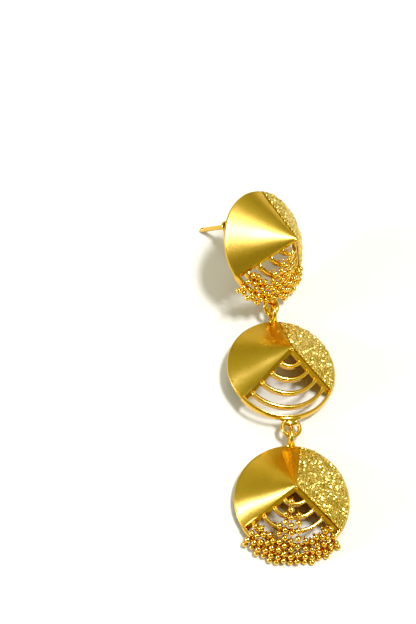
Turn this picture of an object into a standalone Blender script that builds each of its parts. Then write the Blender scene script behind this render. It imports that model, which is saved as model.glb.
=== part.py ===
"""Drop earring of gilt cast metal, as it lies on a table.

Three conical discs hang from one another by rings. Each disc has a plain sector,
a sector in nugget relief and a pierced sector of arched bars. The top and the bottom
disc carry a fringe of short ball chains, each hooked over one of the bars. The top
disc has the ear post with its stop.

A disc's own frame has its rim's front edge in the XY plane, the cone's apex on +Z
and its top towards +Y. Angles on a disc run clockwise from its top, seen from the front.
Metres, +Z up, origin on the table under the middle of the earring.
"""
import math

import bmesh
import bpy
from mathutils import Matrix, Vector
from mathutils import noise

MM = 0.001

# Disc
DISC_RADIUS = 10.0 * MM
CONE_HEIGHT = 8.35 * MM
WALL_DEPTH = 1.0 * MM  # sheet thickness along the disc's axis, as the rim shows it
SHELL_STEPS = 48

# Sectors, in degrees clockwise from the disc's top. The pierced one is as wide on both
# sides of its middle, and the plain one takes the rest.
SEAM_TOP = 8.0
SEAM_RIGHT = 122.0
PIERCED_MIDDLE = 180.0

# Pierced sector: the bars' middles as shares of the way from apex to rim
BAR_SHARES = (0.265, 0.45, 0.64, 0.835)
BAR_WIDTH = 0.75 * MM
RIM_BAR_WIDTH = 0.75 * MM
FRAME_STRIP = 0.75 * MM  # smooth strip between the slots' ends and the seams
SLOT_STEP = 12.0  # degrees of arc to one straight piece of a slot's edge
SLOT_PAST = 2.0 * MM  # how far the piercing reaches past the wall, in front and behind

# Nugget relief
RELIEF_HEIGHT = 0.32 * MM
RELIEF_FLOOR = 0.45  # lowest part of the relief, as a share of its height
RELIEF_ROOT = 0.3 * MM  # how far the relief reaches into the wall
RELIEF_START = 0.07  # share of the way from apex to rim
RELIEF_EDGE = 0.985
RELIEF_ROWS = 9
RELIEF_COLUMNS = 9
RELIEF_GRAIN = 1.1 * MM

# Rings between the discs
RING_RADIUS = 1.55 * MM  # to the middle of the wire
RING_WIRE = 0.42 * MM  # radius of the wire
RING_SEAT = 0.4 * MM  # how deep ring and loop are let into the rim
RING_LEVEL = -0.4 * MM  # ring's plane, from the rim's front edge
LOOP_LEVEL = 0.3 * MM  # loop's middle, from the rim's front edge
RING_SIDES = 6
RING_STEPS = 14
LINK_GAP = 0.4 * MM  # between two interlocking wires
LOWER_LINK_SIDE = 0.26 * MM  # how far right of the loop's middle the lower ring's wire lies

# Ear post on the top disc
POST_HEIGHT_ON_DISC = 5.0 * MM  # above the disc's middle
POST_RADIUS = 0.42 * MM
POST_REACH = 16.5 * MM  # behind the rim's front edge
POST_ROOT = 0.45 * MM  # into the wall
POST_TIP = 0.3 * MM  # length of the rounded end
STOP_RADIUS = 1.1 * MM
STOP_THICKNESS = 0.6 * MM
STOP_FROM_TIP = 6.9 * MM
POST_SIDES = 12

# Ball chains
BALL_RADIUS = 0.45 * MM
BALL_PITCH = 1.42 * MM
CHAIN_WIRE = 0.16 * MM  # radius of the fine wire
CHAIN_GAP = 0.26 * MM  # between the balls and the disc's face
HOOK_RISE = 0.62 * MM  # top of the hook above the first ball's middle
HOOK_GAP = 0.3 * MM  # between the hook and the back of the bar
BALL_SIDES = 10
WIRE_SIDES = 5

# Profile of a ball, as shares of its radius
BALL_NECK = 0.95  # from its middle to where the wire comes out
BALL_SHOULDER = 0.45  # from its middle to the end of its widest part
BALL_GIRTH = 0.96  # radius of its widest part

# Where a hook bends, as shares of its straight runs
HOOK_FOOT = 0.3  # of the run behind the bar, from the slot
HOOK_SHANK = 0.7  # of the depth through the slot, from the face
HOOK_CREST = 0.5  # of the rise over the face, from the top
HOOK_NOSE = 0.25  # of the run to the first ball, from the top

# Each chain: the bar that it hooks over, the first ball's height above the bar as a share
# of the bars' spacing, its angle at the start and at the rim from the disc's bottom,
# positive to the right, and how far past the rim it may reach on the bottom and on the
# top disc, as shares of the ball pitch
CHAINS = (
    # bar, rise, start, end, past on bottom disc, past on top disc
    (3, 0.20, -49.0, -45.5, 1.2, 1.2),
    (3, 0.38, -42.3, -39.0, 1.2, 1.2),
    (3, 0.20, -35.6, -32.5, 1.2, 1.2),
    (3, 0.38, -28.9, -26.0, 1.2, 1.2),
    (3, 0.20, -23.2, -19.6, 1.2, 1.2),
    (2, 0.30, -22.5, -13.2, 1.2, 0.2),
    (1, 0.26, -19.0, -7.6, 0.9, 0.1),
    (0, 0.27, -14.0, -1.3, 1.1, 0.0),
    (1, 0.30, 9.5, 5.2, 0.9, 0.1),
    (3, 0.38, 15.5, 12.0, 1.1, 0.2),
    (3, 0.20, 22.2, 18.6, 1.2, 1.2),
    (3, 0.38, 28.7, 25.3, 1.2, 1.2),
    (3, 0.20, 35.6, 32.1, 1.2, 1.2),
    (3, 0.38, 42.3, 38.8, 1.2, 1.2),
    (3, 0.20, 49.0, 45.5, 1.2, 1.2),
)

# How each disc lies: direction and size of its lean, and its turn, in degrees
TOP_LEAN = (-22.0, 46.8, 20.2)
MIDDLE_LEAN = (13.9, 10.1, 9.5)
BOTTOM_LEAN = (-54.0, 3.0, -1.5)

# Where the rings are soldered, in degrees clockwise from the disc's top
TOP_RING_ANGLE = 181.2
MIDDLE_LOOP_ANGLE = 2.8
MIDDLE_RING_ANGLE = 182.3
BOTTOM_LOOP_ANGLE = -0.6

# Which way the upper ring's wire lies in the lower loop, seen from the loop's middle
UPPER_LINK_DIRECTION = (0.0, -1.0)  # outward along the disc, along the disc's axis
LOWER_LINK_DIRECTION = (0.32, 0.95)

# Metals and making
DISC_COLOUR = (0.86, 0.60, 0.17)
DISC_ROUGHNESS = 0.32
BALL_COLOUR = (0.82, 0.50, 0.12)
BALL_ROUGHNESS = 0.22
SHARP_ANGLE = 30.0  # degrees between faces that meet in a crease
MERGE_GAP = 0.01 * MM

PARTS = bpy.data.collections.new("disc_drop_earring")


def clear_scene():
    """Removes what the scene holds and links the part's collection."""
    for old in list(bpy.data.objects):
        bpy.data.objects.remove(old, do_unlink=True)
    bpy.context.scene.collection.children.link(PARTS)


def gold(name, colour, roughness):
    """Makes one piece's metal."""
    material = bpy.data.materials.new(name)
    material.use_nodes = True
    shader = material.node_tree.nodes["Principled BSDF"]
    shader.inputs["Base Color"].default_value = (*colour, 1.0)
    shader.inputs["Metallic"].default_value = 1.0
    shader.inputs["Roughness"].default_value = roughness
    return material


def add_object(name, mesh):
    """Puts a mesh in the part's collection as an object."""
    thing = bpy.data.objects.new(name, mesh)
    PARTS.objects.link(thing)
    return thing


def evaluated_mesh(thing):
    """The object's mesh with its modifiers."""
    bpy.context.view_layer.update()
    graph = bpy.context.evaluated_depsgraph_get()
    return bpy.data.meshes.new_from_object(thing.evaluated_get(graph))


def combine(base, tool, operation):
    """Joins the tool to the base or cuts the base with it, and uses the tool up."""
    step = base.modifiers.new(operation.lower(), "BOOLEAN")
    step.operation = operation
    step.object = tool
    result = evaluated_mesh(base)
    base.modifiers.clear()
    base.data = result
    bpy.data.objects.remove(tool, do_unlink=True)


def turned(name, profile, steps):
    """Turns a profile of (radius, height) round the Z axis."""
    mesh = bpy.data.meshes.new(name)
    points = [(radius, 0.0, height) for radius, height in profile]
    edges = [(i, i + 1) for i in range(len(points) - 1)]
    mesh.from_pydata(points, edges, [])
    thing = add_object(name, mesh)
    screw = thing.modifiers.new("turn", "SCREW")
    screw.steps = steps
    screw.render_steps = steps
    screw.use_merge_vertices = True
    screw.merge_threshold = MERGE_GAP
    result = evaluated_mesh(thing)
    thing.modifiers.clear()
    thing.data = result
    return thing


def slope():
    """The cone's fall from apex to rim, as an angle in radians."""
    return math.atan2(CONE_HEIGHT, DISC_RADIUS)


def outward(angle):
    """Unit vector in the disc's plane at an angle clockwise from its top."""
    turn = math.radians(angle)
    return Vector((math.sin(turn), math.cos(turn), 0.0))


def face_normal(angle):
    """The cone's outer normal at an angle."""
    return outward(angle) * math.sin(slope()) + Vector((0.0, 0.0, math.cos(slope())))


def on_cone(share, angle, lift=0.0):
    """A point a share of the way from apex to rim, lifted off the face."""
    level = Vector((0.0, 0.0, CONE_HEIGHT * (1.0 - share)))
    return outward(angle) * DISC_RADIUS * share + level + face_normal(angle) * lift


def share_of(length):
    """A length along the cone's face as a share of the way from apex to rim."""
    return length / math.hypot(DISC_RADIUS, CONE_HEIGHT)


def bar_spacing():
    """The share from the last bar but one to the last."""
    return BAR_SHARES[-1] - BAR_SHARES[-2]


def chain_lift():
    """How high the chain's middle line lies over the disc's face."""
    return BALL_RADIUS + CHAIN_GAP


def slot_bounds():
    """Inner and outer share of each slot, between the bars and up to the rim's bar."""
    half = share_of(BAR_WIDTH) / 2
    edges = [0.0]
    for bar in BAR_SHARES:
        edges += [bar - half, bar + half]
    edges.append(1.0 - share_of(RIM_BAR_WIDTH))
    return list(zip(edges[0::2], edges[1::2]))


def slot_half_angle(radius):
    """Half the angle that a slot spans at a radius, with its ends along the seams."""
    sector = PIERCED_MIDDLE - SEAM_RIGHT
    return sector - math.degrees(math.asin(min(1.0, FRAME_STRIP / radius)))


def arc_points(radius, half):
    """Points of a slot's edge from one end to the other, in the disc's plane."""
    count = max(2, round(2 * half / SLOT_STEP))
    angles = [PIERCED_MIDDLE - half + 2 * half * i / count for i in range(count + 1)]
    return [outward(angle) * radius for angle in angles]


def slot_outline(inner, outer):
    """A slot's outline in the disc's plane."""
    far = arc_points(outer * DISC_RADIUS, slot_half_angle(outer * DISC_RADIUS))
    if inner == 0.0:
        sector = math.radians(PIERCED_MIDDLE - SEAM_RIGHT)
        near = [outward(PIERCED_MIDDLE) * FRAME_STRIP / math.sin(sector)]
    else:
        near = arc_points(inner * DISC_RADIUS, slot_half_angle(inner * DISC_RADIUS))
    return far + near[::-1]


def slot_cutter():
    """The prisms that pierce the sector."""
    solid = bmesh.new()
    low = Vector((0.0, 0.0, -WALL_DEPTH - SLOT_PAST))
    tall = Vector((0.0, 0.0, CONE_HEIGHT + WALL_DEPTH + 2 * SLOT_PAST))
    for inner, outer in slot_bounds():
        verts = [solid.verts.new(point + low) for point in slot_outline(inner, outer)]
        face = solid.faces.new(verts)
        grown = bmesh.ops.extrude_face_region(solid, geom=[face])["geom"]
        top = [item for item in grown if isinstance(item, bmesh.types.BMVert)]
        bmesh.ops.translate(solid, verts=top, vec=tall)
    bmesh.ops.recalc_face_normals(solid, faces=solid.faces)
    mesh = bpy.data.meshes.new("slots")
    solid.to_mesh(mesh)
    solid.free()
    return add_object("slots", mesh)


def relief_height(point):
    """Height of the nugget relief over the face at a point of the disc."""
    bump = min(1.0, max(0.0, (1.0 + noise.noise(point / RELIEF_GRAIN)) / 2))
    return RELIEF_HEIGHT * (RELIEF_FLOOR + (1.0 - RELIEF_FLOOR) * bump)


def relief_plate():
    """The raised nugget sector, an uneven sheet that is rooted in the wall."""
    solid = bmesh.new()
    grid = []
    for row in range(RELIEF_ROWS + 1):
        share = RELIEF_START + (RELIEF_EDGE - RELIEF_START) * row / RELIEF_ROWS
        line = []
        for column in range(RELIEF_COLUMNS + 1):
            angle = SEAM_TOP + (SEAM_RIGHT - SEAM_TOP) * column / RELIEF_COLUMNS
            height = relief_height(on_cone(share, angle))
            line.append(solid.verts.new(on_cone(share, angle, height)))
        grid.append(line)
    for near, far in zip(grid, grid[1:]):
        for i in range(RELIEF_COLUMNS):
            solid.faces.new((near[i], far[i], far[i + 1], near[i + 1]))
    bmesh.ops.recalc_face_normals(solid, faces=solid.faces)
    if sum(face.normal.z for face in solid.faces) < 0:
        bmesh.ops.reverse_faces(solid, faces=solid.faces)
    mesh = bpy.data.meshes.new("relief")
    solid.to_mesh(mesh)
    solid.free()
    plate = add_object("relief", mesh)
    sheet = plate.modifiers.new("sheet", "SOLIDIFY")
    sheet.thickness = RELIEF_HEIGHT + RELIEF_ROOT
    sheet.offset = -1.0
    plate.data = evaluated_mesh(plate)
    plate.modifiers.clear()
    return plate


def disc_shell():
    """The hollow cone with its pierced and its nugget sector."""
    profile = (
        (0.0, CONE_HEIGHT),
        (DISC_RADIUS, 0.0),
        (DISC_RADIUS, -WALL_DEPTH),
        (0.0, CONE_HEIGHT - WALL_DEPTH),
    )
    shell = turned("shell", profile, SHELL_STEPS)
    combine(shell, relief_plate(), "UNION")
    combine(shell, slot_cutter(), "DIFFERENCE")
    return shell


def rim_ring(angle, level, upright):
    """A wire ring let into the rim: flat in the disc's plane, or upright to it."""
    bpy.ops.mesh.primitive_torus_add(
        major_radius=RING_RADIUS,
        minor_radius=RING_WIRE,
        major_segments=RING_STEPS,
        minor_segments=RING_SIDES,
    )
    ring = bpy.context.object
    for home in list(ring.users_collection):
        home.objects.unlink(ring)
    PARTS.objects.link(ring)
    place = Matrix.Translation(ring_middle(angle, level))
    turn = Matrix.Rotation(-math.radians(angle), 4, "Z")
    stand = Matrix.Rotation(math.radians(90.0), 4, "Y") if upright else Matrix.Identity(4)
    ring.data.transform(place @ turn @ stand)
    return ring


def ring_middle(angle, level):
    """Middle of a ring or loop on a disc's rim."""
    reach = DISC_RADIUS + RING_RADIUS + RING_WIRE - RING_SEAT
    return outward(angle) * reach + Vector((0.0, 0.0, level))


def ear_post():
    """The post with its stop and rounded end, along the disc's -Z."""
    share = POST_HEIGHT_ON_DISC / DISC_RADIUS
    root = CONE_HEIGHT * (1.0 - share) - WALL_DEPTH + POST_ROOT
    tip = -POST_REACH
    stop = tip + STOP_FROM_TIP
    profile = (
        (0.0, root),
        (POST_RADIUS, root),
        (POST_RADIUS, stop + STOP_THICKNESS),
        (STOP_RADIUS, stop + STOP_THICKNESS),
        (STOP_RADIUS, stop),
        (POST_RADIUS, stop),
        (POST_RADIUS, tip + POST_TIP),
        (POST_RADIUS - POST_TIP / 2, tip),
        (0.0, tip),
    )
    post = turned("post", profile, POST_SIDES)
    post.data.transform(Matrix.Translation((0.0, POST_HEIGHT_ON_DISC, 0.0)))
    return post


def pose(middle, lean):
    """A disc's matrix from its middle and its lean."""
    direction, size, turn = (math.radians(value) for value in lean)
    tilt = (
        Matrix.Rotation(direction, 4, "Z")
        @ Matrix.Rotation(size, 4, "Y")
        @ Matrix.Rotation(turn - direction, 4, "Z")
    )
    return Matrix.Translation(middle) @ tilt


def wire_in_loop(loop_angle, direction):
    """Where the ring's wire lies in a loop of the disc below or above."""
    free = RING_RADIUS - 2 * RING_WIRE - LINK_GAP
    along = Vector((0.0, 0.0, 1.0)) * direction[1] + outward(loop_angle) * direction[0]
    return ring_middle(loop_angle, LOOP_LEVEL) + along.normalized() * free


def ring_foot(ring_angle):
    """The far side of a ring's wire, which hangs in the next loop."""
    return ring_middle(ring_angle, RING_LEVEL) + outward(ring_angle) * RING_RADIUS


def disc_poses():
    """Matrices of the three discs, each hung on its neighbour by ring and loop."""
    middle = pose(Vector((0.0, 0.0, 0.0)), MIDDLE_LEAN)
    top = pose(Vector((0.0, 0.0, 0.0)), TOP_LEAN)
    meeting = middle @ wire_in_loop(MIDDLE_LOOP_ANGLE, UPPER_LINK_DIRECTION)
    top = Matrix.Translation(meeting - top @ ring_foot(TOP_RING_ANGLE)) @ top
    bottom = pose(Vector((0.0, 0.0, 0.0)), BOTTOM_LEAN)
    meeting = middle @ ring_foot(MIDDLE_RING_ANGLE)
    seat = wire_in_loop(BOTTOM_LOOP_ANGLE, LOWER_LINK_DIRECTION)
    seat += outward(BOTTOM_LOOP_ANGLE + 90.0) * LOWER_LINK_SIDE
    bottom = Matrix.Translation(meeting - bottom @ seat) @ bottom
    return top, middle, bottom


def chain_route(bar, rise, start, end):
    """The middle of a chain's first ball, and the point where it comes to the rim."""
    share = BAR_SHARES[bar] - rise * bar_spacing()
    first = on_cone(share, PIERCED_MIDDLE - start, chain_lift())
    over = on_cone(1.0, PIERCED_MIDDLE - end, chain_lift())
    return first, over


def chain_point(first, over, end, distance):
    """A point of the chain: down the face, round the rim's edge, down and then outward."""
    run = (over - first).length
    if distance <= run:
        return first.lerp(over, distance / run)
    angle = PIERCED_MIDDLE - end
    bend = math.pi / 2 - slope()
    past = distance - run
    swing = slope() + min(bend, past / chain_lift())
    spoke = outward(angle) * math.sin(swing) + Vector((0.0, 0.0, math.cos(swing)))
    left_over = max(0.0, past - bend * chain_lift())
    drop = min(left_over, WALL_DEPTH - BALL_RADIUS)
    fall = outward(angle) * (left_over - drop) - Vector((0.0, 0.0, drop))
    return on_cone(1.0, angle) + spoke * chain_lift() + fall


def hook_points(bar, rise, start, first):
    """The hook's wire, from behind the bar through the slot above it to the first ball."""
    angle = PIERCED_MIDDLE - start
    through = BAR_SHARES[bar] - rise * bar_spacing() - share_of(HOOK_RISE)
    down = Vector((0.0, 0.0, WALL_DEPTH + (HOOK_GAP + CHAIN_WIRE) / math.cos(slope())))
    crest = on_cone(through, angle, chain_lift())
    slot = on_cone(through, angle)
    middle = on_cone(BAR_SHARES[bar], angle)
    return [
        middle - down,
        slot.lerp(middle, HOOK_FOOT) - down,
        slot - down * HOOK_SHANK,
        slot,
        crest.lerp(slot, HOOK_CREST),
        crest.lerp(first, HOOK_NOSE),
    ]


def section(solid, middle, axis, side, radius, count):
    """A ring of vertices round the wire's middle line."""
    across = axis.cross(side).normalized()
    level = across.cross(axis).normalized()
    ring = []
    for i in range(count):
        turn = 2 * math.pi * i / count
        spoke = across * math.cos(turn) + level * math.sin(turn)
        ring.append(solid.verts.new(middle + spoke * radius))
    return ring


def bridge(solid, near, far):
    """Faces between two sections, whose counts are equal or one to two."""
    if len(near) == len(far):
        for i in range(len(near)):
            j = (i + 1) % len(near)
            solid.faces.new((near[i], near[j], far[j], far[i]))
        return
    few, many = (near, far) if len(near) < len(far) else (far, near)
    for i in range(len(few)):
        j = (i + 1) % len(few)
        a, b, c = many[2 * i], many[2 * i + 1], many[(2 * i + 2) % len(many)]
        solid.faces.new((few[i], a, b))
        solid.faces.new((few[i], b, few[j]))
        solid.faces.new((few[j], b, c))


def ball_chain(name, bar, rise, start, end, past):
    """One chain of balls with its hook, lofted through sections of wire and balls."""
    first, over = chain_route(bar, rise, start, end)
    count = int((over - first).length / BALL_PITCH + past) + 1
    balls = [chain_point(first, over, end, BALL_PITCH * i) for i in range(count)]
    side = outward(PIERCED_MIDDLE - start - 90.0)
    solid = bmesh.new()
    hook = hook_points(bar, rise, start, first)
    sections = []
    line = hook + [first]
    for i, point in enumerate(hook):
        before = line[max(0, i - 1)]
        axis = (line[i + 1] - before).normalized()
        sections.append(section(solid, point, axis, side, CHAIN_WIRE, WIRE_SIDES))
    neck = BALL_NECK * BALL_RADIUS
    shoulder = BALL_SHOULDER * BALL_RADIUS
    girth = BALL_GIRTH * BALL_RADIUS
    for i, ball in enumerate(balls):
        before = balls[i - 1] if i else hook[-1]
        after = balls[i + 1] if i + 1 < count else ball + (ball - before)
        axis = (after - before).normalized()
        for along, radius, sides in (
            (-neck, CHAIN_WIRE, WIRE_SIDES),
            (-shoulder, girth, BALL_SIDES),
            (shoulder, girth, BALL_SIDES),
            (neck, CHAIN_WIRE, WIRE_SIDES),
        ):
            sections.append(section(solid, ball + axis * along, axis, side, radius, sides))
    for near, far in zip(sections, sections[1:]):
        bridge(solid, near, far)
    solid.faces.new(sections[0])
    solid.faces.new(sections[-1])
    bmesh.ops.recalc_face_normals(solid, faces=solid.faces)
    mesh = bpy.data.meshes.new(name)
    solid.to_mesh(mesh)
    solid.free()
    return add_object(name, mesh)


def finish(thing, material, matrix):
    """Gives a piece its metal, its shading and its place."""
    thing.data.materials.clear()
    thing.data.materials.append(material)
    thing.data.shade_smooth()
    thing.data.set_sharp_from_angle(angle=math.radians(SHARP_ANGLE))
    thing.matrix_world = matrix


def fringe(disc_name, rows, material, matrix):
    """All the chains of one disc, one to a row of bar, rise, start, end and reach past the rim."""
    for number, row in enumerate(rows, start=1):
        chain = ball_chain(f"{disc_name}_chain_{number:02d}", *row)
        finish(chain, material, matrix)


def seat_on_table():
    """Moves the earring so that it stands on the table over the origin."""
    bpy.context.view_layer.update()
    corners = [
        thing.matrix_world @ vertex.co for thing in PARTS.objects for vertex in thing.data.vertices
    ]
    low = Vector([min(point[axis] for point in corners) for axis in range(3)])
    high = Vector([max(point[axis] for point in corners) for axis in range(3)])
    shift = Vector((-(low.x + high.x) / 2, -(low.y + high.y) / 2, -low.z))
    for thing in PARTS.objects:
        thing.matrix_world = Matrix.Translation(shift) @ thing.matrix_world


def build():
    """Builds the earring."""
    clear_scene()
    disc_gold = gold("disc_gold", DISC_COLOUR, DISC_ROUGHNESS)
    chain_gold = gold("chain_gold", BALL_COLOUR, BALL_ROUGHNESS)
    top_pose, middle_pose, bottom_pose = disc_poses()

    shell = disc_shell()
    top = add_object("top_disc", shell.data.copy())
    middle = add_object("middle_disc", shell.data.copy())
    bottom = add_object("bottom_disc", shell.data.copy())
    bpy.data.objects.remove(shell, do_unlink=True)

    combine(top, rim_ring(TOP_RING_ANGLE, RING_LEVEL, False), "UNION")
    combine(top, ear_post(), "UNION")
    combine(middle, rim_ring(MIDDLE_LOOP_ANGLE, LOOP_LEVEL, True), "UNION")
    combine(middle, rim_ring(MIDDLE_RING_ANGLE, RING_LEVEL, False), "UNION")
    combine(bottom, rim_ring(BOTTOM_LOOP_ANGLE, LOOP_LEVEL, True), "UNION")
    finish(top, disc_gold, top_pose)
    finish(middle, disc_gold, middle_pose)
    finish(bottom, disc_gold, bottom_pose)

    fringe("bottom", [row[:5] for row in CHAINS], chain_gold, bottom_pose)
    fringe("top", [row[:4] + row[5:] for row in CHAINS], chain_gold, top_pose)
    seat_on_table()


build()
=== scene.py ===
"""Dresses the drop earring: satin, nugget and pierced sectors, rings, post and ball chains."""

import math

import bmesh
import bpy
import numpy as np
from mathutils import Matrix, Vector, kdtree, noise


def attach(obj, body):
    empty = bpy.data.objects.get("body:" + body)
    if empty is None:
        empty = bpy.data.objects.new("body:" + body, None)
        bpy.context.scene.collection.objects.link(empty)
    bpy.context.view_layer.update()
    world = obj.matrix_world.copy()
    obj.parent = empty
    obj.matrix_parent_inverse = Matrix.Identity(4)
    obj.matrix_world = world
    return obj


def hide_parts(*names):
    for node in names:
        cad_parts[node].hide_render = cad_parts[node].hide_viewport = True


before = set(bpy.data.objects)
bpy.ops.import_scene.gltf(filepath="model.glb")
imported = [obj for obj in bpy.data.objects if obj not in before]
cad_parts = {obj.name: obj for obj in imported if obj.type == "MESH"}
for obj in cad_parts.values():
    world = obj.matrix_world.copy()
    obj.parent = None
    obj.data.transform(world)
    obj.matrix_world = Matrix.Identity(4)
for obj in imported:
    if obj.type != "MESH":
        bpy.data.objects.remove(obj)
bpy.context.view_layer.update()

MM = 0.001

# Disc, in its own frame: rim's front edge in the XY plane, apex on +Z, top towards +Y
DISC_RADIUS = 10.0 * MM
CONE_HEIGHT = 8.35 * MM
SHEET_DEPTH = 0.5 * MM
BAR_DEPTH = 0.85 * MM
RIM_FILLET = 0.2 * MM
SEAM_TOP = 8.0
SEAM_RIGHT = 122.0
PIERCED_MIDDLE = 180.0
SEAM_LEFT = 2 * PIERCED_MIDDLE - SEAM_RIGHT
FILLET_SINK = 0.07 * MM
APEX_SHARE = 0.004
APEX_RADIUS = 0.4 * MM

# Bars: their places as shares of the way from apex to rim, and their rounded ends
BAR_SHARES = (0.265, 0.45, 0.64, 0.835)
BAR_WIDTH = 0.74 * MM
BAR_CROWN = 0.36 * MM
BAR_SINK = 0.2 * MM
BAR_END = 0.5 * MM
BAR_END_IN_STRIP = 0.7
RIM_BAR_SINK = 0.12 * MM
RIM_BAR_RISE = 0.2 * MM
RIM_BAR_INSET = 0.05 * MM
RIM_BAR_OVERLAP = 0.5
RIM_BAR_SWEEP = (150.0, -10.0)
RIM_BAR_BULGE = 1.05
RIM_BAR_SLOPE = 0.8
BAR_STEPS = 61
RIM_BAR_STEPS = 81

# Frame strips, from the apex to the rim by shares
FRAME_STRIP = 0.6 * MM
STRIP_CROWN = 0.1 * MM
STRIP_SINK = 0.18 * MM
STRIP_DEPTH = 0.9 * MM
STRIP_BEVEL = 0.3 * MM
STRIP_FLATNESS = 2.5
STRIP_SPAN = (0.02, 0.985)
STRIP_TURN = 40.0
STRIP_STEPS = 50

# Step in degrees, rows down the face and rows back up inside
PLAIN_GRID = (1.5, 50, 16)
NUGGET_GRID = (0.5, 150, 8)

# Plain sector: its waves, and its fall towards the pierced sector by angle and share
SAG_HEIGHT = 0.05 * MM
SAG_SIZE = 5.0 * MM
SAG_SEED = 11.3
SAG_GROWTH = 3.0
DROOP_FROM = 270.0
DROOP_SPAN = 32.0
DROOP_START = 0.2
DROOP_RUN = 0.6

# Nugget sector: lumps, their scatter and heights, and the noise that bends and roughens them
RELIEF_HEIGHT = 0.46 * MM
NUGGET_PITCH = 0.75 * MM
NUGGET_SCATTER = 0.4
LUMP_HEIGHTS = (0.3, 1.0)
LUMP_STEEPNESS = 1.3
BEND_SCALE = 1.4
BEND_REACH = 0.3
SWELL_SCALE = 0.7
FINE_SCALE = 4.5
DOME_PART = 0.76
SWELL_PART = 0.16
FINE_PART = 0.05
SEAM_FADE = 0.18 * MM
RIM_FADE = 0.03
RIM_FADE_LEAST = 0.4
RIM_SPREAD = 0.8

# Rings and post
RING_RADIUS = 1.55 * MM
RING_WIRE = 0.42 * MM
RING_SEAT = 0.4 * MM
RING_LEVEL = -0.4 * MM
LOOP_LEVEL = 0.3 * MM
SKIN_VOXEL = 0.06 * MM
SKIN_ROUNDS = 4
POST_HEIGHT_ON_DISC = 5.0 * MM
POST_RADIUS = 0.45 * MM
POST_REACH = 16.5 * MM
POST_ROOT = 0.15 * MM
POST_LEAN = 2.5
STOP_RADIUS = 1.1 * MM
STOP_THICKNESS = 0.6 * MM
STOP_FROM_TIP = 6.9 * MM
STOP_EDGE = 0.12 * MM
STOP_LIP = 0.3 * MM
STOP_SHOULDER = 0.05 * MM
EDGE_BULGE = 0.3
GROOVE = ((1.3 * MM, 1.0), (1.2 * MM, 0.9), (1.05 * MM, 0.9), (0.95 * MM, 1.0))
TIP_ROUNDNESS = 0.8

# Solder: each drop's level and how far past the rim it lies, then half its width, length and
# thickness, in mm
LOOP_SOLDER = ((0.0, 0.1, 0.8, 0.8, 0.55),)
RING_SOLDER = ((-0.1, -0.15, 2.1, 0.6, 0.5), (-0.4, 0.45, 1.1, 0.75, 0.45))

# Ball chains
BALL_RADIUS = 0.54 * MM
BALL_LEVEL = 0.71 * MM
BALL_PITCH = 1.42 * MM
CHAIN_WIRE = 0.1 * MM
RIM_DROP = 0.55 * MM
HOOK_RISE = 0.5 * MM
HOOK_CREST = 0.24 * MM
HOOK_GAP = 0.1 * MM
BALL_SWAY = (0.04 * MM, 0.04 * MM, 0.016 * MM)
BALL_SPREAD = (0.97, 1.02)
PARTING_ROUNDS = 12

# Where a hook bends, as shares of its straight runs
HOOK_FOOT = 0.3
HOOK_SHANK = 0.7
HOOK_BEND = 0.5
HOOK_NOSE = 0.25

# Each chain: its bar, the first ball's rise above it as a share of the bars' spacing, its
# angle at the start and at the rim from the disc's bottom, and how far past the rim it may
# reach on the bottom and on the top disc, as shares of the ball pitch
CHAINS = (
    (3, 0.20, -49.0, -45.5, 1.2, 1.2),
    (3, 0.38, -42.3, -39.0, 1.2, 1.2),
    (3, 0.20, -35.6, -32.5, 1.2, 1.2),
    (3, 0.38, -28.9, -26.0, 1.2, 1.2),
    (3, 0.20, -23.2, -19.6, 1.2, 1.2),
    (2, 0.30, -22.5, -13.2, 1.2, 0.2),
    (1, 0.26, -19.0, -7.6, 0.9, 0.1),
    (0, 0.27, -14.0, -1.3, 1.1, 0.0),
    (1, 0.30, 9.5, 5.2, 0.9, 0.1),
    (3, 0.38, 15.5, 12.0, 1.1, 0.2),
    (3, 0.20, 22.2, 18.6, 1.2, 1.2),
    (3, 0.38, 28.7, 25.3, 1.2, 1.2),
    (3, 0.20, 35.6, 32.1, 1.2, 1.2),
    (3, 0.38, 42.3, 38.8, 1.2, 1.2),
    (3, 0.20, 49.0, 45.5, 1.2, 1.2),
)

# Discs: middle in mm, direction and size of the lean and turn in degrees,
# angle of the loop at the top and of the ring at the bottom, the sheet's droop in mm
DISCS = {
    "top": ((-0.944, 24.342, 9.054), (-22.0, 46.8, 20.2), None, 181.2, 0.1),
    "middle": ((1.913, 1.578, 2.770), (13.9, 10.1, 9.5), 2.8, 182.3, 0.42),
    "bottom": ((3.043, -23.078, 1.571), (-54.0, 3.0, -1.5), -0.6, None, 0.42),
}

# Discs that carry a fringe, each with its column in the table of chains
FRINGES = (("bottom", 4), ("top", 5))
FRINGE_SEED = 5

CAMERA_PLACE = (-11.411 * MM, -98.89 * MM, 206.50 * MM)
CAMERA_TARGET = (-11.411 * MM, 14.962 * MM, 0.045 * MM)
CAMERA_LENS = 72.14
FLOOR_LEVEL = -0.03 * MM
FLOOR_HALF = 4.0

CORNER_STEPS = 12
SLOPE = math.atan2(CONE_HEIGHT, DISC_RADIUS)
SLANT = math.hypot(CONE_HEIGHT, DISC_RADIUS)


# Points on a disc

def outward(angle):
    """Unit vectors in the disc's plane at angles clockwise from its top."""
    turn = np.radians(np.asarray(angle, float))
    return np.stack([np.sin(turn), np.cos(turn), np.zeros_like(turn)], -1)


def face_normal(angle):
    """The cone's outer normals at angles."""
    return outward(angle) * math.sin(SLOPE) + np.array([0.0, 0.0, math.cos(SLOPE)])


def on_cone(share, angle, lift=0.0):
    """Points a share of the way from apex to rim, lifted off the face."""
    share, angle, lift = np.broadcast_arrays(
        np.asarray(share, float), np.asarray(angle, float), np.asarray(lift, float)
    )
    flat = outward(angle) * (DISC_RADIUS * share)[..., None]
    flat[..., 2] += CONE_HEIGHT * (1.0 - share)
    return flat + face_normal(angle) * lift[..., None]


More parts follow.
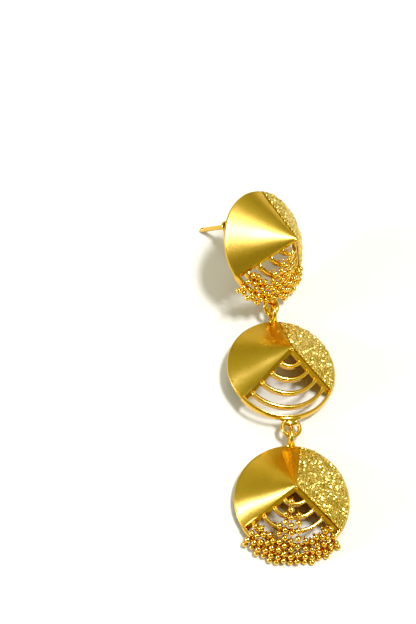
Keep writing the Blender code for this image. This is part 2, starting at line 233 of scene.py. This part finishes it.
def pose(middle, lean):
    """A disc's matrix from its middle and its lean."""
    direction, size, turn = (math.radians(value) for value in lean)
    tilt = (
        Matrix.Rotation(direction, 4, "Z")
        @ Matrix.Rotation(size, 4, "Y")
        @ Matrix.Rotation(turn - direction, 4, "Z")
    )
    return Matrix.Translation(Vector(middle) * MM) @ tilt


# Meshes

class Shape:
    """Collects the sheets and tubes of one piece."""

    def __init__(self):
        self.points = []
        self.faces = []
        self.count = 0

    def add(self, points, faces):
        """Adds points, and faces numbered from the first of them."""
        points = np.asarray(points, float).reshape(-1, 3)
        self.points.append(points)
        self.faces += [tuple(i + self.count for i in face) for face in faces]
        self.count += len(points)

    def sweep(self, sections, closed=False, capped=True):
        """Skins closed sections that follow one another."""
        sections = np.asarray(sections, float)
        n, k = sections.shape[:2]
        faces = []
        for i in range(n if closed else n - 1):
            a, b = i * k, ((i + 1) % n) * k
            for j in range(k):
                m = (j + 1) % k
                faces.append((a + j, a + m, b + m, b + j))
        if capped and not closed:
            faces.append(tuple(range(k))[::-1])
            faces.append(tuple((n - 1) * k + j for j in range(k)))
        self.add(sections, faces)

    def tube(self, path, radius, sides, side):
        """A round tube along a path, with one radius or one for each point."""
        path = np.asarray(path, float)
        radius = np.broadcast_to(radius, len(path))
        along = np.gradient(path, axis=0)
        along /= np.linalg.norm(along, axis=1)[:, None]
        across = np.cross(along, side)
        across /= np.linalg.norm(across, axis=1)[:, None]
        level = np.cross(across, along)
        turn = np.linspace(0, 2 * math.pi, sides, endpoint=False)
        spokes = (
            across[:, None] * np.cos(turn)[None, :, None]
            + level[:, None] * np.sin(turn)[None, :, None]
        )
        self.sweep(path[:, None] + spokes * radius[:, None, None])

    def torus(self, matrix, major, minor, steps=72, sides=24):
        """A wire ring in the matrix's XY plane."""
        u = np.linspace(0, 2 * math.pi, steps, endpoint=False)[:, None]
        v = np.linspace(0, 2 * math.pi, sides, endpoint=False)[None, :]
        reach = major + minor * np.cos(v)
        points = np.stack(
            [reach * np.cos(u), reach * np.sin(u), minor * np.sin(v) + 0 * u], -1
        )
        self.sweep(moved(points, matrix), closed=True)

    def ball(self, middle, radius, axes=None, sides=20, rows=12):
        """A ball, or with axes an ellipsoid."""
        axes = np.eye(3) if axes is None else np.asarray(axes, float)
        height = np.cos(np.linspace(0, math.pi, rows + 1))[1:-1]
        turn = np.linspace(0, 2 * math.pi, sides, endpoint=False)
        wide = np.sqrt(1 - height**2)
        ring = np.stack(
            [
                wide[:, None] * np.cos(turn),
                wide[:, None] * np.sin(turn),
                height[:, None] + 0 * turn,
            ],
            -1,
        ).reshape(-1, 3)
        points = np.vstack([ring, [[0, 0, 1], [0, 0, -1]]]) * radius
        faces = []
        for i in range(rows - 2):
            for j in range(sides):
                m = (j + 1) % sides
                a, b = i * sides, (i + 1) * sides
                faces.append((a + j, b + j, b + m, a + m))
        top, low = len(ring), len(ring) + 1
        for j in range(sides):
            m = (j + 1) % sides
            faces.append((top, j, m))
            faces.append((low, (rows - 2) * sides + m, (rows - 2) * sides + j))
        self.add(points @ axes + np.asarray(middle, float), faces)

    def mesh(self, name, merge=1e-7):
        """The piece's mesh, with points closer than merge joined."""
        mesh = bpy.data.meshes.new(name)
        mesh.from_pydata(np.vstack(self.points).tolist(), [], self.faces)
        work = bmesh.new()
        work.from_mesh(mesh)
        if merge:
            bmesh.ops.remove_doubles(work, verts=work.verts, dist=merge)
        bmesh.ops.recalc_face_normals(work, faces=work.faces)
        work.to_mesh(mesh)
        work.free()
        mesh.shade_smooth()
        return mesh


def moved(points, matrix):
    """Points after a matrix."""
    m = np.array(matrix)
    return points @ m[:3, :3].T + m[:3, 3]


def make_piece(name, mesh, material, matrix, nodes, sharp=40.0):
    """Places a mesh as a piece that stands for CAD nodes."""
    mesh.transform(matrix)
    mesh.set_sharp_from_angle(angle=math.radians(sharp))
    mesh.materials.append(material)
    piece = bpy.data.objects.new(name, mesh)
    bpy.context.scene.collection.objects.link(piece)
    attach(piece, "root")
    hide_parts(*nodes)
    return piece


# Sectors of a disc

def rim_profile(rows, inner_rows):
    """Radius and height round the wall's section: down the face, round the rim and back."""
    face_share = np.linspace(APEX_SHARE, 1.0 - RIM_FILLET / SLANT, rows)
    outer = np.stack([DISC_RADIUS * face_share, CONE_HEIGHT * (1 - face_share)], -1)
    corner = []
    for low, high, centre in (
        (math.pi / 2 - SLOPE, 0.0, (DISC_RADIUS - RIM_FILLET, -FILLET_SINK)),
        (0.0, -math.pi / 2, (DISC_RADIUS - RIM_FILLET, -SHEET_DEPTH + RIM_FILLET)),
    ):
        for t in np.linspace(low, high, CORNER_STEPS // 2):
            across, up = RIM_FILLET * math.cos(t), RIM_FILLET * math.sin(t)
            corner.append((centre[0] + across, centre[1] + up))
    inner_share = np.linspace(1.0 - 2 * RIM_FILLET / SLANT, APEX_SHARE, inner_rows)
    inner = np.stack(
        [DISC_RADIUS * inner_share, CONE_HEIGHT * (1 - inner_share) - SHEET_DEPTH], -1
    )
    return np.vstack([outer, np.array(corner), inner]), rows


def sector(start, end, step, rows, inner_rows, lift):
    """A sector of the cone's wall, its face lifted by a function of share and angle."""
    profile, front = rim_profile(rows, inner_rows)
    count = max(2, int(round((end - start) / step)))
    angles = np.linspace(start, end, count + 1)
    points = outward(angles)[:, None] * profile[None, :, 0, None]
    points[..., 2] += profile[None, :, 1]
    share = profile[:front, 0] / DISC_RADIUS
    rise = lift(share[None, :], angles[:, None])
    points[:, :front] += face_normal(angles)[:, None] * rise[..., None]
    fade = np.linspace(RIM_SPREAD, 0.0, CORNER_STEPS)
    spread = rise[:, -1, None] * fade[None, :]
    points[:, front:front + CORNER_STEPS] += outward(angles)[:, None] * spread[..., None]
    shape = Shape()
    shape.sweep(points)
    mesh = shape.mesh("sector", merge=0.0)
    # For the nugget gold this relief also places the painted crease shade: darkest where it is
    # zero, along the seams and over the wall's inner face.
    relief = np.zeros(points.shape[:2])
    relief[:, :front] = rise / RELIEF_HEIGHT
    relief[:, front:front + CORNER_STEPS] = rise[:, -1:] / RELIEF_HEIGHT
    layer = mesh.attributes.new("relief", "FLOAT", "POINT")
    layer.data.foreach_set("value", relief.ravel())
    return mesh


def droop(depth, share, angle):
    """How far the sheet falls away towards the pierced sector, more so near the rim."""
    near = np.clip((DROOP_FROM - angle) / DROOP_SPAN, 0.0, 1.0)
    return -depth * near**2 * np.clip((share - DROOP_START) / DROOP_RUN, 0.0, 1.0)


def sag(disc_seed, depth):
    """The slight unevenness of a polished-out sheet."""
    def lift(share, angle):
        share, angle = np.broadcast_arrays(share, angle)
        flat = on_cone(share, angle) / MM
        rise = np.empty(share.shape)
        for index in np.ndindex(share.shape):
            point = Vector(flat[index])
            rise[index] = noise.noise(point / (SAG_SIZE / MM) + Vector((disc_seed, 0, 0)))
        waves = SAG_HEIGHT * rise * np.clip(share * SAG_GROWTH, 0, 1)
        return waves + droop(depth, share, angle)
    return lift


def scattered(random, pitch):
    """Uneven rows of places over the nugget sector, about a pitch apart."""
    places = []
    span = SEAM_RIGHT - SEAM_TOP
    for share in np.arange(0.5 * pitch / SLANT, 1.0, pitch / SLANT):
        count = max(1, round(math.radians(span) * share * DISC_RADIUS / pitch))
        sideways = random.uniform(-NUGGET_SCATTER, NUGGET_SCATTER, count)
        along = (np.arange(count) + 0.5 + sideways) / count
        down = share + random.uniform(-NUGGET_SCATTER, NUGGET_SCATTER, count) * pitch / SLANT
        places.append(on_cone(down, SEAM_TOP + span * along))
    return np.vstack(places)


def nuggets(disc_seed):
    """Height of the nugget relief: lumps parted by creases, that fade out at the seams."""
    random = np.random.default_rng(disc_seed)
    noise.seed_set(disc_seed)
    lumps = scattered(random, NUGGET_PITCH) / MM
    heights = random.uniform(*LUMP_HEIGHTS, len(lumps))
    tree = kdtree.KDTree(len(lumps))
    for index, lump in enumerate(lumps):
        tree.insert(lump, index)
    tree.balance()

    def lift(share, angle):
        share, angle = np.broadcast_arrays(share, angle)
        flat = on_cone(share, angle) / MM
        rise = np.empty(share.shape)
        for index in np.ndindex(share.shape):
            point = Vector(flat[index])
            bent = point + noise.noise_vector(point * BEND_SCALE) * BEND_REACH
            (_, nearest, close), (_, _, second) = tree.find_n(bent, 2)
            inside = min(1.0, LUMP_STEEPNESS * (second - close) * MM / NUGGET_PITCH)
            dome = heights[nearest] * (1.0 - (1.0 - inside) ** 2)
            swell = SWELL_PART * (1.0 + noise.noise(point * SWELL_SCALE))
            fine = FINE_PART * (1.0 + noise.noise(point * FINE_SCALE))
            rise[index] = DOME_PART * dome + swell + fine
        rise = np.clip(rise, 0, 1)
        radius = DISC_RADIUS * share
        to_seam = np.minimum(
            radius * np.sin(np.radians(angle - SEAM_TOP)),
            radius * np.sin(np.radians(np.minimum(SEAM_RIGHT - angle, 90.0))),
        )
        at_seam = np.clip(to_seam / SEAM_FADE, 0, 1)
        at_rim = np.clip((1.0 - share) / RIM_FADE, RIM_FADE_LEAST, 1)
        return RELIEF_HEIGHT * (at_seam * at_rim) * rise
    return lift


def bar_section(width, depth, crown, flatness=1.0, count=13):
    """Section of a bar with a rounded top, half-round or flatter: across the bar and up."""
    turn = np.linspace(math.pi, 0.0, count)
    across = np.sign(np.cos(turn)) * np.abs(np.cos(turn)) ** (1.0 / flatness)
    top = np.stack([width / 2 * across, crown * np.sin(turn) ** (1.0 / flatness)], -1)
    low = [(width / 2, -depth), (-width / 2, -depth)]
    return np.vstack([top, low])


def bar_arc(shape, share, width, crown, sink):
    """An arched bar across the pierced sector, its ends let into the frame strips."""
    section = bar_section(width, BAR_DEPTH - sink, crown)
    radius = share * DISC_RADIUS
    half = PIERCED_MIDDLE - SEAM_RIGHT
    half -= math.degrees(math.asin(min(1.0, BAR_END_IN_STRIP * FRAME_STRIP / radius)))
    angles = np.linspace(PIERCED_MIDDLE - half, PIERCED_MIDDLE + half, BAR_STEPS)
    from_end = np.radians(half - np.abs(angles - PIERCED_MIDDLE)) * radius
    full = np.clip(from_end / BAR_END, 0.0, 1.0) ** 0.5
    along = outward(angles) * math.cos(SLOPE) + np.array([0, 0, -math.sin(SLOPE)])
    base = on_cone(share, angles, -sink)
    points = base[:, None] + along[:, None] * section[None, :, 0, None]
    crowned = np.clip(section[:, 1], 0, None)[None, :] * full[:, None]
    points += face_normal(angles)[:, None] * crowned[..., None]
    points[..., 2] += np.clip(section[:, 1], None, 0)[None, :]
    shape.sweep(points)


def seam_strip(shape, seam, inward, width, crown, sink, depth):
    """A smooth strip beside a seam from the apex to the rim."""
    section = bar_section(width, STRIP_DEPTH, crown, STRIP_FLATNESS)
    section[:-2, 1] -= STRIP_BEVEL * (section[:-2, 0] / width + 0.5)
    shares = np.linspace(*STRIP_SPAN, STRIP_STEPS)
    side = outward(seam + 90.0 * inward)
    base = on_cone(shares, seam, droop(depth, shares, seam) - sink) + side * width / 2
    turned_in = np.degrees(np.arctan2(width / 2, shares * DISC_RADIUS))
    up = face_normal(seam + inward * np.minimum(turned_in, STRIP_TURN))
    points = base[:, None] + side * section[None, :, 0, None]
    points = points + up[:, None] * np.clip(section[:, 1], 0, None)[None, :, None]
    points[..., 2] += np.clip(section[:, 1], None, 0)[None, :]
    shape.sweep(points)


def rim_bar(shape, width, crown):
    """The rim's bar along the pierced sector, rounded at its front and outside."""
    half = PIERCED_MIDDLE - SEAM_RIGHT + RIM_BAR_OVERLAP
    angles = np.linspace(PIERCED_MIDDLE - half, PIERCED_MIDDLE + half, RIM_BAR_STEPS)
    inner = DISC_RADIUS - width * math.cos(SLOPE)
    low = -BAR_DEPTH + RIM_BAR_RISE
    middle, level = (inner + DISC_RADIUS) / 2, 0.5 * width * math.sin(SLOPE) - RIM_BAR_SINK
    half_width = (DISC_RADIUS - inner) / 2
    top = []
    for t in np.linspace(*(math.radians(end) for end in RIM_BAR_SWEEP), 12):
        across = half_width * RIM_BAR_BULGE * math.cos(t)
        fall = -math.tan(SLOPE) * across * RIM_BAR_SLOPE
        top.append((middle + across, level + crown * math.sin(t) + fall))
    section = np.array(top + [(DISC_RADIUS, low), (inner + RIM_BAR_INSET, low)])
    points = outward(angles)[:, None] * section[None, :, 0, None]
    points[..., 2] += section[None, :, 1]
    shape.sweep(points)


# Rings and post

def ring_matrix(angle, level, upright):
    """A ring's place on the rim: flat in the disc's plane, or upright to it."""
    reach = DISC_RADIUS + RING_RADIUS + RING_WIRE - RING_SEAT
    spot = outward(angle) * reach
    place = Matrix.Translation(Vector((spot[0], spot[1], level)))
    turn = Matrix.Rotation(-math.radians(angle), 4, "Z")
    stand = Matrix.Rotation(math.radians(90.0), 4, "Y") if upright else Matrix.Identity(4)
    return place @ turn @ stand


def solder(shape, angle, drops):
    """The solder that flows from the rim into a ring."""
    for drop in drops:
        level, past_rim, wide, long, thick = (size * MM for size in drop)
        spot = outward(angle) * (DISC_RADIUS + past_rim) + np.array([0, 0, level])
        sides = [outward(angle + 90.0) * wide, outward(angle) * long, np.array([0, 0, thick])]
        shape.ball(spot, 1.0, sides)


def fused(shape, name, voxel):
    """Blends the rings and their solder into one skin."""
    mesh = shape.mesh(name)
    thing = bpy.data.objects.new(name, mesh)
    bpy.context.scene.collection.objects.link(thing)
    skin = thing.modifiers.new("skin", "REMESH")
    skin.mode = "VOXEL"
    skin.voxel_size = voxel
    soft = thing.modifiers.new("soft", "SMOOTH")
    soft.factor = 0.5
    soft.iterations = SKIN_ROUNDS
    bpy.context.view_layer.update()
    graph = bpy.context.evaluated_depsgraph_get()
    result = bpy.data.meshes.new_from_object(thing.evaluated_get(graph))
    bpy.data.objects.remove(thing, do_unlink=True)
    result.shade_smooth()
    return result


def ear_post(shape):
    """The post with its round stop, behind the top disc."""
    share = POST_HEIGHT_ON_DISC / DISC_RADIUS
    root = CONE_HEIGHT * (1.0 - share) - SHEET_DEPTH + POST_ROOT
    tip, stop = -POST_REACH, -POST_REACH + STOP_FROM_TIP
    back = stop + STOP_THICKNESS
    r, s, e, lip = POST_RADIUS, STOP_RADIUS, STOP_EDGE, STOP_LIP
    outline = [
        (0.0, root),
        (r, root),
        (r, back + lip),
        (r + lip * EDGE_BULGE, back + lip * EDGE_BULGE),
        (r + lip, back),
        (s - e, back),
        (s - e * EDGE_BULGE, back - e * EDGE_BULGE),
        (s, back - e),
        (s, stop + e),
        (s - e * EDGE_BULGE, stop + e * EDGE_BULGE),
        (s - e, stop),
        (r + STOP_SHOULDER, stop),
        (r, stop - STOP_SHOULDER),
    ]
    outline += [(r * size, tip + level) for level, size in GROOVE]
    for t in np.linspace(0, math.pi / 2, 8):
        outline.append((r * math.cos(t), tip + r * (1 - math.sin(t)) * TIP_ROUNDNESS))
    outline = np.array(outline)
    turn = np.linspace(0, 2 * math.pi, 32, endpoint=False)
    lean = (outline[:, 1, None] - tip) * math.tan(math.radians(POST_LEAN))
    sections = np.stack(
        [
            outline[:, 0, None] * np.cos(turn),
            POST_HEIGHT_ON_DISC - lean + outline[:, 0, None] * np.sin(turn),
            outline[:, 1, None] + 0 * turn,
        ],
        -1,
    )
    shape.sweep(sections, capped=False)


# Ball chains

def chain_balls(row, past, random):
    """The middles of one chain's balls and the points of its hook."""
    bar, rise, start, end = row
    lift = BALL_LEVEL
    spacing = BAR_SHARES[-1] - BAR_SHARES[-2]
    share = BAR_SHARES[bar] - rise * spacing
    first = on_cone(share, PIERCED_MIDDLE - start, lift)
    over = on_cone(1.0, PIERCED_MIDDLE - end, lift)
    run = float(np.linalg.norm(over - first))
    angle = PIERCED_MIDDLE - end
    bend = math.pi / 2 - SLOPE
    balls = []
    for i in range(int(run / BALL_PITCH + past) + 1):
        distance = i * BALL_PITCH
        if distance <= run:
            balls.append(first + (over - first) * distance / run)
            continue
        beyond = distance - run
        swing = SLOPE + min(bend, beyond / lift)
        spoke = outward(angle) * math.sin(swing) + np.array([0, 0, math.cos(swing)])
        left_over = max(0.0, beyond - bend * lift)
        drop = min(left_over, RIM_DROP)
        fall = outward(angle) * (left_over - drop) - np.array([0, 0, drop])
        balls.append(on_cone(1.0, angle) + spoke * lift + fall)
    balls = np.array(balls)
    balls += random.uniform(-1, 1, balls.shape) * np.array(BALL_SWAY)
    through = BAR_SHARES[bar] - rise * spacing - HOOK_RISE / SLANT
    angle = PIERCED_MIDDLE - start
    down = np.array([0, 0, BAR_DEPTH + (HOOK_GAP + CHAIN_WIRE) / math.cos(SLOPE)])
    crest, slot = on_cone(through, angle, HOOK_CREST), on_cone(through, angle)
    middle = on_cone(BAR_SHARES[bar], angle)
    hook = np.array(
        [
            middle - down,
            slot + (middle - slot) * HOOK_FOOT - down,
            slot - down * HOOK_SHANK,
            slot,
            crest + (slot - crest) * HOOK_BEND,
            crest + (balls[0] - crest) * HOOK_NOSE,
            balls[0],
        ]
    )
    return balls, hook


def rounded(path, steps):
    """A smooth curve through a path's points."""
    path = np.asarray(path, float)
    before = np.vstack([2 * path[0] - path[1], path, 2 * path[-1] - path[-2]])
    points = []
    for i in range(len(path) - 1):
        a, b, c, d = before[i:i + 4]
        for t in np.linspace(0, 1, steps, endpoint=False):
            points.append(
                0.5 * (2 * b + (c - a) * t + (2 * a - 5 * b + 4 * c - d) * t**2
                       + (3 * b - a - 3 * c + d) * t**3)
            )
    points.append(path[-1])
    return np.array(points)


def fringe(past, random):
    """The chains of one disc: their balls' middles and radii, and the points of their hooks.

    Balls of different chains are pushed apart over a fixed number of rounds, so that they cut
    less into one another."""
    chains = []
    for row in CHAINS:
        balls, hook = chain_balls(row[:4], row[past], random)
        chains.append((balls, BALL_RADIUS * random.uniform(*BALL_SPREAD, len(balls)), hook))
    middles = np.vstack([balls for balls, _, _ in chains])
    radii = np.concatenate([radii for _, radii, _ in chains])
    owner = np.repeat(np.arange(len(chains)), [len(balls) for balls, _, _ in chains])
    for _ in range(PARTING_ROUNDS):
        away = middles[:, None] - middles[None]
        apart = np.linalg.norm(away, axis=2)
        short = radii[:, None] + radii[None] - apart
        short = np.where((short > 0) & (owner[:, None] != owner[None]), short, 0.0)
        middles += 0.5 * (away * (short / np.maximum(apart, 1e-9))[..., None]).sum(1)
    for index, (balls, _, hook) in enumerate(chains):
        balls[:] = middles[owner == index]
        hook[-1] = balls[0]
    return chains


def ball_chain(shape, start, balls, radii, hook):
    """One chain: balls, the wire between them and the hook over its bar."""
    side = outward(PIERCED_MIDDLE - start - 90.0)
    for ball, radius in zip(balls, radii):
        shape.ball(ball, radius)
    shape.tube(rounded(hook, steps=5), CHAIN_WIRE, sides=10, side=side)
    if len(balls) > 1:
        shape.tube(rounded(balls, steps=4), CHAIN_WIRE, sides=10, side=side)


# Materials

def gold(name, colour, roughness, grain, grain_size, bump, crease_shade=None, tint=0.08):
    """A procedural metal: colour that varies a little, uneven roughness and fine grain.

    Given a shade colour, the relief's creases and low parts are darkened towards it: painted
    shade."""
    material = bpy.data.materials.new(name)
    material.use_nodes = True
    tree = material.node_tree
    nodes, links = tree.nodes, tree.links
    shader = nodes["Principled BSDF"]
    shader.inputs["Metallic"].default_value = 1.0
    place = nodes.new("ShaderNodeTexCoord")
    patches = nodes.new("ShaderNodeTexNoise")
    patches.inputs["Scale"].default_value = 260.0
    patches.inputs["Detail"].default_value = 4.0
    links.new(place.outputs["Object"], patches.inputs["Vector"])
    mixed = nodes.new("ShaderNodeMix")
    mixed.data_type = "RGBA"
    mixed.inputs["A"].default_value = (*[c * (1 - tint) for c in colour], 1.0)
    mixed.inputs["B"].default_value = (*[min(1.0, c * (1 + tint)) for c in colour], 1.0)
    links.new(patches.outputs["Fac"], mixed.inputs["Factor"])
    links.new(mixed.outputs["Result"], shader.inputs["Base Color"])
    # Painted shade: the colour is darkened towards the crease shade colour where the relief
    # attribute is low, fully where it is zero.
    if crease_shade is not None:
        height = nodes.new("ShaderNodeAttribute")
        height.attribute_name = "relief"
        raised = nodes.new("ShaderNodeMapRange")
        raised.inputs["From Max"].default_value = 0.55
        links.new(height.outputs["Fac"], raised.inputs["Value"])
        crease_shade_mix = nodes.new("ShaderNodeMix")
        crease_shade_mix.data_type = "RGBA"
        crease_shade_mix.inputs["A"].default_value = (*crease_shade, 1.0)
        links.new(raised.outputs["Result"], crease_shade_mix.inputs["Factor"])
        links.new(mixed.outputs["Result"], crease_shade_mix.inputs["B"])
        links.new(crease_shade_mix.outputs["Result"], shader.inputs["Base Color"])
    fine = nodes.new("ShaderNodeTexNoise")
    fine.inputs["Scale"].default_value = 1.0 / grain_size
    fine.inputs["Detail"].default_value = 3.0
    links.new(place.outputs["Object"], fine.inputs["Vector"])
    spread = nodes.new("ShaderNodeMapRange")
    spread.inputs["From Min"].default_value = 0.3
    spread.inputs["From Max"].default_value = 0.7
    spread.inputs["To Min"].default_value = roughness - grain
    spread.inputs["To Max"].default_value = roughness + grain
    links.new(fine.outputs["Fac"], spread.inputs["Value"])
    links.new(spread.outputs["Result"], shader.inputs["Roughness"])
    rough = nodes.new("ShaderNodeBump")
    rough.inputs["Strength"].default_value = bump
    rough.inputs["Distance"].default_value = 0.02 * MM
    links.new(fine.outputs["Fac"], rough.inputs["Height"])
    links.new(rough.outputs["Normal"], shader.inputs["Normal"])
    return material


def paper(name):
    """Warm white paper with a faint tooth."""
    material = bpy.data.materials.new(name)
    material.use_nodes = True
    nodes, links = material.node_tree.nodes, material.node_tree.links
    shader = nodes["Principled BSDF"]
    shader.inputs["Roughness"].default_value = 0.9
    shader.inputs["Specular IOR Level"].default_value = 0.1
    place = nodes.new("ShaderNodeTexCoord")
    tooth = nodes.new("ShaderNodeTexNoise")
    tooth.inputs["Scale"].default_value = 120.0
    links.new(place.outputs["Object"], tooth.inputs["Vector"])
    mixed = nodes.new("ShaderNodeMix")
    mixed.data_type = "RGBA"
    mixed.inputs["A"].default_value = (0.72, 0.67, 0.50, 1.0)
    mixed.inputs["B"].default_value = (0.74, 0.69, 0.52, 1.0)
    links.new(tooth.outputs["Fac"], mixed.inputs["Factor"])
    links.new(mixed.outputs["Result"], shader.inputs["Base Color"])
    return material


# Stage

def room():
    """A dim grey room: pale near the floor, a dark skirting, and dark towards the front."""
    world = bpy.data.worlds.new("room")
    bpy.context.scene.world = world
    world.use_nodes = True
    nodes, links = world.node_tree.nodes, world.node_tree.links
    place = nodes.new("ShaderNodeTexCoord")
    split = nodes.new("ShaderNodeSeparateXYZ")
    links.new(place.outputs["Generated"], split.inputs["Vector"])
    walls = nodes.new("ShaderNodeValToRGB")
    ramp = walls.color_ramp
    stops = (
        (0.00, (0.90, 0.88, 0.72)),
        (0.07, (0.80, 0.80, 0.62)),
        (0.12, (0.18, 0.18, 0.11)),
        (0.22, (0.26, 0.28, 0.18)),
        (0.36, (0.46, 0.52, 0.45)),
        (0.75, (0.48, 0.53, 0.49)),
        (0.92, (0.75, 0.76, 0.70)),
    )
    while len(ramp.elements) < len(stops):
        ramp.elements.new(1.0)
    for element, (spot, colour) in zip(ramp.elements, stops):
        element.position = spot
        element.color = (*colour, 1.0)
    links.new(split.outputs["Z"], walls.inputs["Fac"])
    facing = nodes.new("ShaderNodeVectorMath")
    facing.operation = "DOT_PRODUCT"
    facing.inputs[1].default_value = (0.05, -0.62, 0.78)
    links.new(place.outputs["Generated"], facing.inputs[0])
    shade = nodes.new("ShaderNodeMapRange")
    shade.interpolation_type = "SMOOTHSTEP"
    shade.inputs["From Min"].default_value = 0.72
    shade.inputs["From Max"].default_value = 0.93
    shade.inputs["To Min"].default_value = 1.0
    shade.inputs["To Max"].default_value = 0.62
    links.new(facing.outputs["Value"], shade.inputs["Value"])
    dimmed = nodes.new("ShaderNodeVectorMath")
    dimmed.operation = "SCALE"
    links.new(walls.outputs["Color"], dimmed.inputs[0])
    links.new(shade.outputs["Result"], dimmed.inputs["Scale"])
    links.new(dimmed.outputs["Vector"], nodes["Background"].inputs["Color"])
    nodes["Background"].inputs["Strength"].default_value = 1.0


def lamp(name, kind, azimuth, elevation, energy, colour):
    """A lamp a metre away that faces the earring: azimuth from +Y towards +X, and elevation."""
    data = bpy.data.lights.new(name, kind)
    data.energy = energy
    data.color = colour
    thing = bpy.data.objects.new(name, data)
    a, e = math.radians(azimuth), math.radians(elevation)
    back = Vector((math.sin(a) * math.cos(e), math.cos(a) * math.cos(e), math.sin(e)))
    thing.rotation_euler = back.to_track_quat("Z", "Y").to_euler()
    thing.location = back
    bpy.context.scene.collection.objects.link(thing)
    return data


def lights():
    """A long soft window overhead, and two wide soft suns."""
    above = lamp("window_above", "AREA", 86.0, 73.0, 11.8, (0.89, 0.93, 1.14))
    above.shape = "RECTANGLE"
    above.size, above.size_y = 0.25, 0.13
    left = lamp("window_left", "SUN", -95.0, 21.0, 1.3, (0.88, 0.94, 1.25))
    left.angle = math.radians(14.0)
    back = lamp("window_back", "SUN", 0.0, 61.0, 0.36, (0.97, 0.96, 1.05))
    back.angle = math.radians(22.0)


def camera(place, target, lens):
    """The camera at the photograph's viewing angle."""
    data = bpy.data.cameras.new("camera")
    data.lens = lens
    data.sensor_width = 36.0
    data.clip_start = 0.01
    data.clip_end = 20.0
    thing = bpy.data.objects.new("camera", data)
    thing.location = place
    look = Vector(target) - Vector(place)
    thing.rotation_euler = look.to_track_quat("-Z", "Y").to_euler()
    bpy.context.scene.collection.objects.link(thing)
    bpy.context.scene.camera = thing


def develop():
    """Plain colours with the blacks a little deeper, as a product photograph is printed."""
    view = bpy.context.scene.view_settings
    view.view_transform = "Standard"
    view.use_curve_mapping = True
    curve = view.curve_mapping.curves[3]
    for low, high in ((0.045, 0.012), (0.12, 0.09), (0.35, 0.35)):
        curve.points.new(low, high)
    view.curve_mapping.update()


camera(CAMERA_PLACE, CAMERA_TARGET, CAMERA_LENS)
room()
lights()
develop()

floor_mesh = bpy.data.meshes.new("floor")
turns = ((-1, -1), (1, -1), (1, 1), (-1, 1))
corners = [(FLOOR_HALF * x, FLOOR_HALF * y, 0) for x, y in turns]
floor_mesh.from_pydata(corners, [], [(0, 1, 2, 3)])
floor_mesh.materials.append(paper("paper"))
floor = bpy.data.objects.new("floor", floor_mesh)
floor.location.z = FLOOR_LEVEL
bpy.context.scene.collection.objects.link(floor)

# Pieces

# Columns: name, colour, roughness and how far it varies, size and strength of the grain, and
# for the nugget gold the painted shade colour of its creases
satin = gold("satin_gold", (0.71, 0.44, 0.085), 0.31, 0.04, 0.24 * MM, 0.5)
# The strip gold is the satin gold made darker and rougher: its darkness is painted shade on the
# frame strips.
dull_and_shaded = gold("strip_gold", (0.60, 0.37, 0.06), 0.36, 0.07, 0.24 * MM, 0.9)
cast = gold("nugget_gold", (0.82, 0.58, 0.16), 0.27, 0.08, 0.15 * MM, 0.5, (0.32, 0.17, 0.02))
bright = gold("bright_gold", (0.78, 0.47, 0.10), 0.17, 0.04, 0.3 * MM, 0.2)
beads = gold("ball_gold", (0.85, 0.53, 0.12), 0.12, 0.03, 0.25 * MM, 0.15)

for number, (disc, placing) in enumerate(DISCS.items(), start=1):
    middle, lean, loop, ring, sheet_droop = placing
    matrix = pose(middle, lean)
    node = f"{disc}_disc"

    sheet = sag(number * SAG_SEED, sheet_droop * MM)
    plain = sector(SEAM_LEFT, 360.0 + SEAM_TOP, *PLAIN_GRID, sheet)
    make_piece(f"{disc}_plain_sector", plain, satin, matrix, [node])

    relief = sector(SEAM_TOP, SEAM_RIGHT, *NUGGET_GRID, nuggets(number))
    make_piece(f"{disc}_nugget_sector", relief, cast, matrix, [node], sharp=75.0)

    pierced = Shape()
    for share in BAR_SHARES:
        bar_arc(pierced, share, BAR_WIDTH, BAR_CROWN, BAR_SINK)
    rim_bar(pierced, BAR_WIDTH, BAR_CROWN)
    pierced.ball(on_cone(0.0, 0.0, -APEX_RADIUS), APEX_RADIUS)
    make_piece(f"{disc}_pierced_sector", pierced.mesh("pierced"), bright, matrix, [node])

    strips = Shape()
    for seam, inward, fall in ((SEAM_RIGHT, 1.0, 0.0), (SEAM_LEFT, -1.0, sheet_droop * MM)):
        seam_strip(strips, seam, inward, FRAME_STRIP, STRIP_CROWN, STRIP_SINK, fall)
    # The frame strips wear the strip gold, whose darkness is painted shade.
    make_piece(f"{disc}_frame_strips", strips.mesh("strips"), dull_and_shaded, matrix, [node])

    rings = Shape()
    if loop is not None:
        rings.torus(ring_matrix(loop, LOOP_LEVEL, True), RING_RADIUS, RING_WIRE)
        solder(rings, loop, LOOP_SOLDER)
    if ring is not None:
        rings.torus(ring_matrix(ring, RING_LEVEL, False), RING_RADIUS, RING_WIRE)
        solder(rings, ring, RING_SOLDER)
    make_piece(f"{disc}_rings", fused(rings, "rings", SKIN_VOXEL), bright, matrix, [node])

    if disc == "top":
        post = Shape()
        ear_post(post)
        make_piece("ear_post", post.mesh("post"), bright, matrix, [node])

for disc, past in FRINGES:
    matrix = pose(DISCS[disc][0], DISCS[disc][1])
    random = np.random.default_rng(FRINGE_SEED + past)
    for number, (row, strung) in enumerate(zip(CHAINS, fringe(past, random)), start=1):
        chain = Shape()
        ball_chain(chain, row[2], *strung)
        name = f"{disc}_chain_{number:02d}"
        make_piece(f"{name}_balls", chain.mesh(name), beads, matrix, [name])
